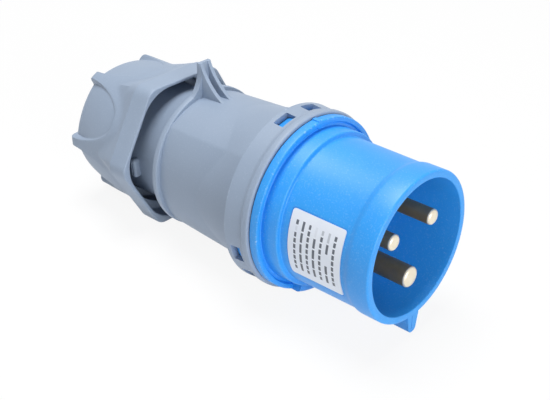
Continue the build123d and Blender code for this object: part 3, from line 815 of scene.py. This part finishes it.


# The ring's rear edge and the tail lip's rear edge are painted pale in spots, as wear and as a
# painted highlight
grey_polyamide = moulded_polyamide(
    "moulded_grey_polyamide", "#93a3b8", "#b8c6d8", "#8d9db3", 0.5,
    worn_and_highlit_edges=[(X_RING_BAND_END, RING_BAND_R), (X_TAIL_BACK, TAIL_R)],
)
grip_blank = [
    (X_RING_BACK + (X_TAIL - X_RING_BACK) * i / GRIP_STATIONS, GRIP_BLANK_R - GRIP_BLANK_TAPER * i)
    for i in range(GRIP_STATIONS + 1)
]
housing_body = turned(
    [
        (X_RING, SEAL_SEAT_R),
        (X_RING, RING_R - RING_CHAMFER, 0.2),
        (X_RING - RING_CHAMFER, RING_R, 0.3),
        (X_RING - RING_LAND, RING_R, 0.15),
        (X_RING - RING_VALLEY, RING_VALLEY_R, 0.9),
        (X_RING_BAND_END, RING_BAND_R, 0.35),
        (X_RING_BACK, RING_BAND_R - RING_BACK_DROP, 0.3),
        *grip_blank,
        (X_TAIL, TAIL_R, 0.5),
        (X_TAIL_BACK, TAIL_R, 0.5),
        (X_TAIL_BACK, NECK_R, 0.5),
        (X_NECK_END, NECK_R, 0.9),
        (X_NECK_END, GLAND_BORE_R),
        (X_GLAND_SEAT, GLAND_BORE_R),
        (X_GLAND_SEAT, CABLE_WAY_R),
        (X_WIRING_END, CABLE_WAY_R),
        (X_WIRING_END, WIRING_REAR_R),
        (X_WIRING, WIRING_FRONT_R),
        (X_WIRING, SKIRT_SEAT_R),
        (X_SEAL_SEAT, SKIRT_SEAT_R),
        (X_SEAL_SEAT, SEAL_SEAT_R),
    ],
    steps=HOUSING_STEPS,
)
for vert in housing_body.verts:
    blank_r = hypot(*vert.co.yz)
    if abs(blank_r - GRIP_BLANK_R * MM) < 0.1 * MM:
        led_out = grip_radius(vert.co.x / MM, atan2(-vert.co.y, vert.co.z)) * MM
        vert.co.yz = vert.co.yz * (led_out / blank_r)
horn_side = [(HORN_FOOT_HALF, HORN_FOOT), (HORN_WAIST_HALF, HORN_WAIST), (HORN_TOP_HALF, HORN_TOP)]
horn_section = [
    *horn_side, *[(-y, z) for y, z in reversed(horn_side)],
    (-HORN_TOP_HALF, HORN_ROOT), (HORN_TOP_HALF, HORN_ROOT),
]
plate = prism([(X_TAIL_BACK, y, z) for y, z in horn_section], (X_TAIL - X_TAIL_BACK, 0, 0))
plate_waist = [e for e in plate.edges if lies_at(e, "z", HORN_WAIST) and runs_along(e)]
rounded(plate, plate_waist, HORN_HOLLOW_ROUND, segments=8)
for vert in plate.verts:
    if vert.co.z > (HORN_TOP - 1) * MM and vert.co.x > (X_TAIL - 1) * MM:
        vert.co.x -= HORN_TAPER * MM
plate_edges = [e for e in plate.edges if folds(e, 50) and e.verts[0].co.z > HORN_EDGE_FROM * MM]
rounded(plate, plate_edges, HORN_EDGE_ROUND, segments=3)
rib_section = [
    (X_RIB_FOOT, RIB_FOOT), (X_RIB_HOLLOW, RIB_HOLLOW), (X_RIB_TOP, HORN_TOP - RIB_INSET),
    (X_TAIL_BACK + RIB_INSET, HORN_TOP - RIB_INSET), (X_TAIL_BACK + RIB_INSET, HORN_ROOT),
    (X_RIB_FOOT, HORN_ROOT),
]
ribs = []
for side in (1, -1):
    rib = prism([(x, side * RIB_INNER, z) for x, z in rib_section], (0, side * RIB_WIDTH, 0))
    rib_front = [edge for edge in rib.edges if lies_at(edge, "x", X_RIB_HOLLOW)]
    rounded(rib, rib_front, RIB_HOLLOW_ROUND, segments=10)
    for vert in rib.verts:
        if abs(vert.co.y) > (RIB_INNER + RIB_WIDTH / 2) * MM:
            vert.co.y -= side * (vert.co.z - HORN_ROOT * MM) * RIB_DRAFT
    rib_edges = [
        edge for edge in rib.edges
        if folds(edge, 50) and min(v.co.z for v in edge.verts) > RIB_EDGE_FROM * MM
    ]
    ribs.append(rounded(rib, rib_edges, RIB_EDGE_ROUND, segments=3))
nubs = [
    block(NUB_X, (-NUB_HALF, NUB_HALF), (NUB_ROOT, NUB_TOP), angle, NUB_ROUND)
    for angle in NUB_ANGLES
]
housing_body = combined(housing_body, [plate, *ribs, *nubs], "UNION")
windows = [
    block(WINDOW_X, (-WINDOW_HALF, WINDOW_HALF), WINDOW_CUT, angle) for angle in WINDOW_ANGLES
]
nub_grooves = [
    block(NUB_GROOVE_X, (-NUB_GROOVE_HALF, NUB_GROOVE_HALF), NUB_GROOVE_CUT, angle)
    for angle in NUB_ANGLES
]
housing_body = combined(housing_body, windows + nub_grooves, "DIFFERENCE")
finished("moulded_housing", housing_body, grey_polyamide, "plug", "grey_polyamide", "housing")

# Gland inside: the fingered cage that closes on the cable seal, and the ring that the nut pushes.
# Both are grey polyamide mouldings, loose in the neck and in the nut.
dressed(grey_polyamide, "clamp_cage", "thrust_ring")

# Gland nut: the hexagonal skirt tapers into a round grip with six thumb scallops.
# One thick moulding in the housing's grey polyamide, screwed on the housing's neck.
NUT_SIDES = 6
HALF_SIDE = pi / NUT_SIDES
X_NUT = -116.0
NUT_HEX_R = 30.2
NUT_CORNER_ROUND = 6.0
NUT_RIM_ROUND = 0.6
X_SKIRT_BACK = -124.9
SKIRT_LIP = 0.3
LIP_HALF = 0.15
SHOULDER_RUN = 16.0
SHOULDER_DROP = 5.0
SHOULDER_BLEND = 0.3
NUT_GRIP_R = 29.2
X_NUT_BACK = -157.0
EAR_ROUND = 3.2
NUT_END_ROUND = 5.0
X_END_ROUND = X_NUT_BACK + NUT_END_ROUND
X_SCALLOP = -131.5
SCALLOP_LENGTH = 25.0
SCALLOP_HALF_WIDTH = 12.6
SCALLOP_STEP = 0.6
SCALLOP_FLOOR_ROUND = 95.0
SCALLOP_FLATNESS = 12.0
WALL_BAND = 0.45
# The skirt's hexagonal inside, and the round inside from the end face to the recess for the nubs
NUT_HOLLOW_R = 28.7
NUT_HOLLOW_ROUND = 15.8
NUT_HOLLOW_CHAMFER = 0.4
NUT_BORE = [
    (X_NUT_BACK, 18.0), (X_NUT_BACK, 12.2), (-155.8, 11.0), (-153.1, 11.0), (-153.1, 21.7),
    (-145.8, 21.7), (-145.8, 24.3), (-131.3, 24.3), (-131.3, 27.2), (X_SKIRT_BACK, 27.2),
]
# Mesh columns in half a side: within the scallop, on its wall and beyond it
INNER_COLUMNS, BAND_COLUMNS, OUTER_COLUMNS = 14, 4, 5
HALF_COLUMNS = INNER_COLUMNS + BAND_COLUMNS + OUTER_COLUMNS
NUT_STEPS = 2 * NUT_SIDES * HALF_COLUMNS
LEAST_EDGE = radians(6)
RELAX_RUN = 6.0
# Mesh rings along the nut
SKIRT_RINGS = (2.5, 5.0)
SHOULDER_RINGS = 10
SHOULDER_REACH = 6.0
SCALLOP_START = (0, 0.12, 0.3, 0.6, 1.0, 1.5)
SCALLOP_RINGS = 26
END_RINGS = 14


def hexagon_radius(angle, flat_r, corner_round):
    """Radius of a hexagon with rounded corners, at an angle from the middle of a flat."""
    angle = abs(angle)
    corner_r = (flat_r - corner_round) / cos(HALF_SIDE)
    if tan(angle) * flat_r <= (flat_r - corner_round) * tan(HALF_SIDE):
        return flat_r / cos(angle)
    away = HALF_SIDE - angle
    return corner_r * cos(away) + sqrt(corner_round**2 - (corner_r * sin(away)) ** 2)


def scallop_angle(x):
    """Half the angle that a thumb scallop takes at a station."""
    if x >= X_SCALLOP:
        return 0.0
    reach = (x - X_SCALLOP + SCALLOP_LENGTH) / SCALLOP_LENGTH
    return asin(SCALLOP_HALF_WIDTH * sqrt(max(0.0, 1 - reach**2)) / NUT_GRIP_R)


def scallop_floor(x, angle):
    """Radius of a scallop's floor, flatter than the grip and curved in to the cable end."""
    centre_r = NUT_GRIP_R - SCALLOP_STEP - SCALLOP_FLOOR_ROUND
    if x > X_END_ROUND:
        middle = centre_r + sqrt(SCALLOP_FLOOR_ROUND**2 - (x - X_SCALLOP) ** 2)
    else:
        inner_round = SCALLOP_FLOOR_ROUND - NUT_END_ROUND
        end_r = centre_r + sqrt(inner_round**2 - (X_SCALLOP - X_END_ROUND) ** 2)
        middle = end_r + sqrt(max(0.0, NUT_END_ROUND**2 - (x - X_END_ROUND) ** 2))
    aside = SCALLOP_FLATNESS * sin(angle)
    return -SCALLOP_FLATNESS * cos(angle) + sqrt((middle + SCALLOP_FLATNESS) ** 2 - aside**2)


def nut_radius(x, angle):
    """Outer radius of the nut, at an angle from the middle of a flat."""
    if x > X_SKIRT_BACK:
        return hexagon_radius(angle, NUT_HEX_R, NUT_CORNER_ROUND)
    hexagon = 0.0
    if x >= X_SKIRT_BACK - SHOULDER_RUN:
        drop = (X_SKIRT_BACK - x) / SHOULDER_RUN * SHOULDER_DROP + SKIRT_LIP
        hexagon = hexagon_radius(angle, NUT_HEX_R - drop, NUT_CORNER_ROUND - drop)
    nose = max(0.0, X_NUT_BACK + EAR_ROUND - x)
    grip = NUT_GRIP_R - EAR_ROUND + sqrt(max(0.0, EAR_ROUND**2 - nose**2))
    blend = max(0.0, SHOULDER_BLEND - abs(hexagon - grip)) ** 2 / (4 * SHOULDER_BLEND)
    body = max(hexagon, grip) + blend
    if x >= X_SCALLOP:
        return body
    inward = (scallop_angle(x) - abs(angle)) * NUT_GRIP_R / WALL_BAND
    share = max(0.0, min(1.0, 0.5 + inward / 2))
    share = share * share * (3 - 2 * share)
    floor_r = min(body, scallop_floor(x, angle))
    return body + (floor_r - body) * share


def column_angle(x, column):
    """Angle of a mesh column from the middle of its flat, led along the edge of the scallop."""
    even = HALF_SIDE / HALF_COLUMNS
    edge = max(scallop_angle(x), LEAST_EDGE)
    band = WALL_BAND / NUT_GRIP_R
    if x > X_SCALLOP:
        relax = min(1.0, (x - X_SCALLOP) / RELAX_RUN)
        edge += (even * (INNER_COLUMNS + BAND_COLUMNS / 2) - edge) * relax
        band += (even * BAND_COLUMNS / 2 - band) * relax
    if column <= INNER_COLUMNS:
        return (edge - band) * column / INNER_COLUMNS
    if column <= INNER_COLUMNS + BAND_COLUMNS:
        return edge - band + 2 * band * (column - INNER_COLUMNS) / BAND_COLUMNS
    beyond = (column - INNER_COLUMNS - BAND_COLUMNS) / OUTER_COLUMNS
    return edge + band + (HALF_SIDE - edge - band) * beyond


# Each station is an x, a size and what the size is: an inset from the outer form, the margin
# round the hexagonal hollow, or the radius of a round ring
rim_turns = [pi / 2, 3 * pi / 8, pi / 4, pi / 8, 0]
lip_back = X_SKIRT_BACK - LIP_HALF
scallop_from = X_SCALLOP - SCALLOP_START[-1]
scallop_reach = scallop_from - X_END_ROUND
outer_xs = [
    *[X_NUT - run for run in SKIRT_RINGS],
    X_SKIRT_BACK + LIP_HALF,
    lip_back,
    *[lip_back - SHOULDER_REACH * i / SHOULDER_RINGS for i in range(1, SHOULDER_RINGS + 1)],
    *[X_SCALLOP - run for run in SCALLOP_START],
    *[scallop_from - scallop_reach * i / SCALLOP_RINGS for i in range(1, SCALLOP_RINGS + 1)],
    *[X_END_ROUND - NUT_END_ROUND * sin(pi / 2 * i / END_RINGS) for i in range(1, END_RINGS + 1)],
]
nut_stations = [
    *[(X_NUT - NUT_RIM_ROUND * (1 - sin(a)), NUT_RIM_ROUND * (1 - cos(a)), "outer")
      for a in rim_turns],
    *[(x, 0.0, "outer") for x in outer_xs],
    *[(x, radius, "round") for x, radius in NUT_BORE],
    (X_SKIRT_BACK, 0.0, "hollow"),
    (X_NUT - NUT_HOLLOW_CHAMFER, 0.0, "hollow"),
    (X_NUT, NUT_HOLLOW_CHAMFER, "hollow"),
]
# The stations are spun as plain rings, a little apart, and then led to their places
RING_GAP = 0.05
nut_body = bmesh.new()
station_layer = nut_body.verts.layers.int.new("station")
nut_line = []
for i, (x, _, _) in enumerate(nut_stations):
    nut_line.append(nut_body.verts.new((x * MM, 0, (NUT_HEX_R + RING_GAP * i) * MM)))
    nut_line[-1][station_layer] = i
nut_sides = [nut_body.edges.new(pair) for pair in zip(nut_line, nut_line[1:] + nut_line[:1])]
bmesh.ops.spin(
    nut_body, geom=nut_line + nut_sides, cent=(0, 0, 0), axis=(1, 0, 0), angle=tau,
    steps=NUT_STEPS, use_merge=True,
)
for vert in nut_body.verts:
    x, size, kind = nut_stations[vert[station_layer]]
    column = round(atan2(-vert.co.y, vert.co.z) / tau * NUT_STEPS)
    flat = round(column / (2 * HALF_COLUMNS))
    from_flat = column - flat * 2 * HALF_COLUMNS
    angle = column_angle(x, abs(from_flat)) * (1 if from_flat >= 0 else -1)
    if kind == "outer":
        place_r = nut_radius(x, angle) - size
    elif kind == "hollow":
        place_r = hexagon_radius(angle, NUT_HOLLOW_R, NUT_HOLLOW_ROUND) + size
    else:
        place_r = size
    around = angle + flat * 2 * HALF_SIDE
    vert.co = Vector((x, -place_r * sin(around), place_r * cos(around))) * MM
bmesh.ops.remove_doubles(nut_body, verts=nut_body.verts, dist=WELD)
bmesh.ops.recalc_face_normals(nut_body, faces=nut_body.faces)
finished("moulded_gland_nut", nut_body, grey_polyamide, "nut", "grey_polyamide", "gland_nut")

# Stage: a white paper floor that the plug lies on, tilted to meet its ring and its nut.
# To the camera it is nearly white by itself, and it keeps a soft shadow of the plug.
FLOOR_HALF = 6.0
FLOOR_GLOW = 0.9
# The points that the plug rests on, below its ring and below its nut
rest_front = Vector((-50.0, 0, -35.0)) * MM
rest_back = Vector((-124.0, 0, -30.25)) * MM


def seen_share(tree):
    """Is 1 where the camera sees a surface, plainly or in metal or glass, and 0 for other rays."""
    path = add(tree, "ShaderNodeLightPath", {}).outputs
    plain = add(
        tree, "ShaderNodeMath", {0: path["Is Camera Ray"], 1: path["Is Glossy Ray"]},
        operation="MAXIMUM",
    )
    return add(
        tree, "ShaderNodeMath", {0: plain.outputs[0], 1: path["Is Transmission Ray"]},
        operation="MAXIMUM",
    ).outputs[0]


floor_material, floor_tree = empty_material("white_paper_floor")
glow_share = add(
    floor_tree, "ShaderNodeMath", {0: seen_share(floor_tree), 1: FLOOR_GLOW}, operation="MULTIPLY"
)
paper = add(floor_tree, "ShaderNodeBsdfDiffuse", {"Color": linear("#f0f0f0")})
glow = add(floor_tree, "ShaderNodeEmission", {"Color": linear("#ffffff"), "Strength": 1.0})
lit_paper = add(
    floor_tree, "ShaderNodeMixShader",
    {0: glow_share.outputs[0], 1: paper.outputs[0], 2: glow.outputs[0]},
)
add(floor_tree, "ShaderNodeOutputMaterial", {"Surface": lit_paper.outputs[0]})
floor_shape = bmesh.new()
bmesh.ops.create_grid(floor_shape, x_segments=1, y_segments=1, size=FLOOR_HALF)
tilt = atan2(rest_front.z - rest_back.z, rest_front.x - rest_back.x)
tilted = Matrix.Rotation(-tilt, 3, "Y")
bmesh.ops.rotate(floor_shape, cent=(0, 0, 0), matrix=tilted, verts=floor_shape.verts)
bmesh.ops.translate(floor_shape, vec=rest_front, verts=floor_shape.verts)
floor_mesh = bpy.data.meshes.new("floor")
floor_shape.to_mesh(floor_mesh)
floor_shape.free()
floor_mesh.materials.append(floor_material)
floor = bpy.data.objects.new("floor", floor_mesh)
bpy.context.scene.collection.objects.link(floor)

# Light: an even white room, with a broad soft lamp above the plug and one in front of it.
# The room is white to the camera and dimmer as a light, so that the lamps give the form.
ROOM_LEVEL = 0.22
# Each lamp's place and size in metres, and its power in watts
LAMPS = {
    "top_lamp": ((-0.15, 0.0, 0.9), 0.45, 8.0),
    "front_lamp": ((0.9, -0.28, 0.2), 0.4, 5.8),
}
plug_middle = Vector((-0.075, 0, 0))
world = bpy.data.worlds.new("white_room")
bpy.context.scene.world = world
world.use_nodes = True
room_tree = world.node_tree
room_tree.nodes.clear()
room_level = add(
    room_tree, "ShaderNodeMapRange",
    {"Value": seen_share(room_tree), "To Min": ROOM_LEVEL, "To Max": 1.0},
)
room = add(
    room_tree, "ShaderNodeBackground",
    {"Color": linear("#ffffff"), "Strength": room_level.outputs[0]},
)
add(room_tree, "ShaderNodeOutputWorld", {"Surface": room.outputs[0]})
for name, (spot, size, power) in LAMPS.items():
    lamp_data = bpy.data.lights.new(name, "AREA")
    lamp_data.energy = power
    lamp_data.size = size
    lamp = bpy.data.objects.new(name, lamp_data)
    bpy.context.scene.collection.objects.link(lamp)
    lamp.location = spot
    lamp.rotation_mode = "QUATERNION"
    lamp.rotation_quaternion = (plug_middle - lamp.location).to_track_quat("-Z", "Y")

# Camera: at the photograph's viewing angle, set by its place and the directions of its axes.
camera_spot = Vector((159.49, -247.12, 187.12)) * MM
camera_right = (0.738, 0.675, -0.002)
camera_up = (-0.337, 0.370, 0.866)
camera_back = (0.585, -0.638, 0.501)
camera_data = bpy.data.cameras.new("camera")
camera_data.sensor_width = 36
camera_data.lens = 65.45
camera = bpy.data.objects.new("camera", camera_data)
bpy.context.scene.collection.objects.link(camera)
camera_axes = Matrix((camera_right, camera_up, camera_back)).transposed()
camera.matrix_world = Matrix.Translation(camera_spot) @ camera_axes.to_4x4()
bpy.context.scene.camera = camera
bpy.context.scene.view_settings.view_transform = "Standard"
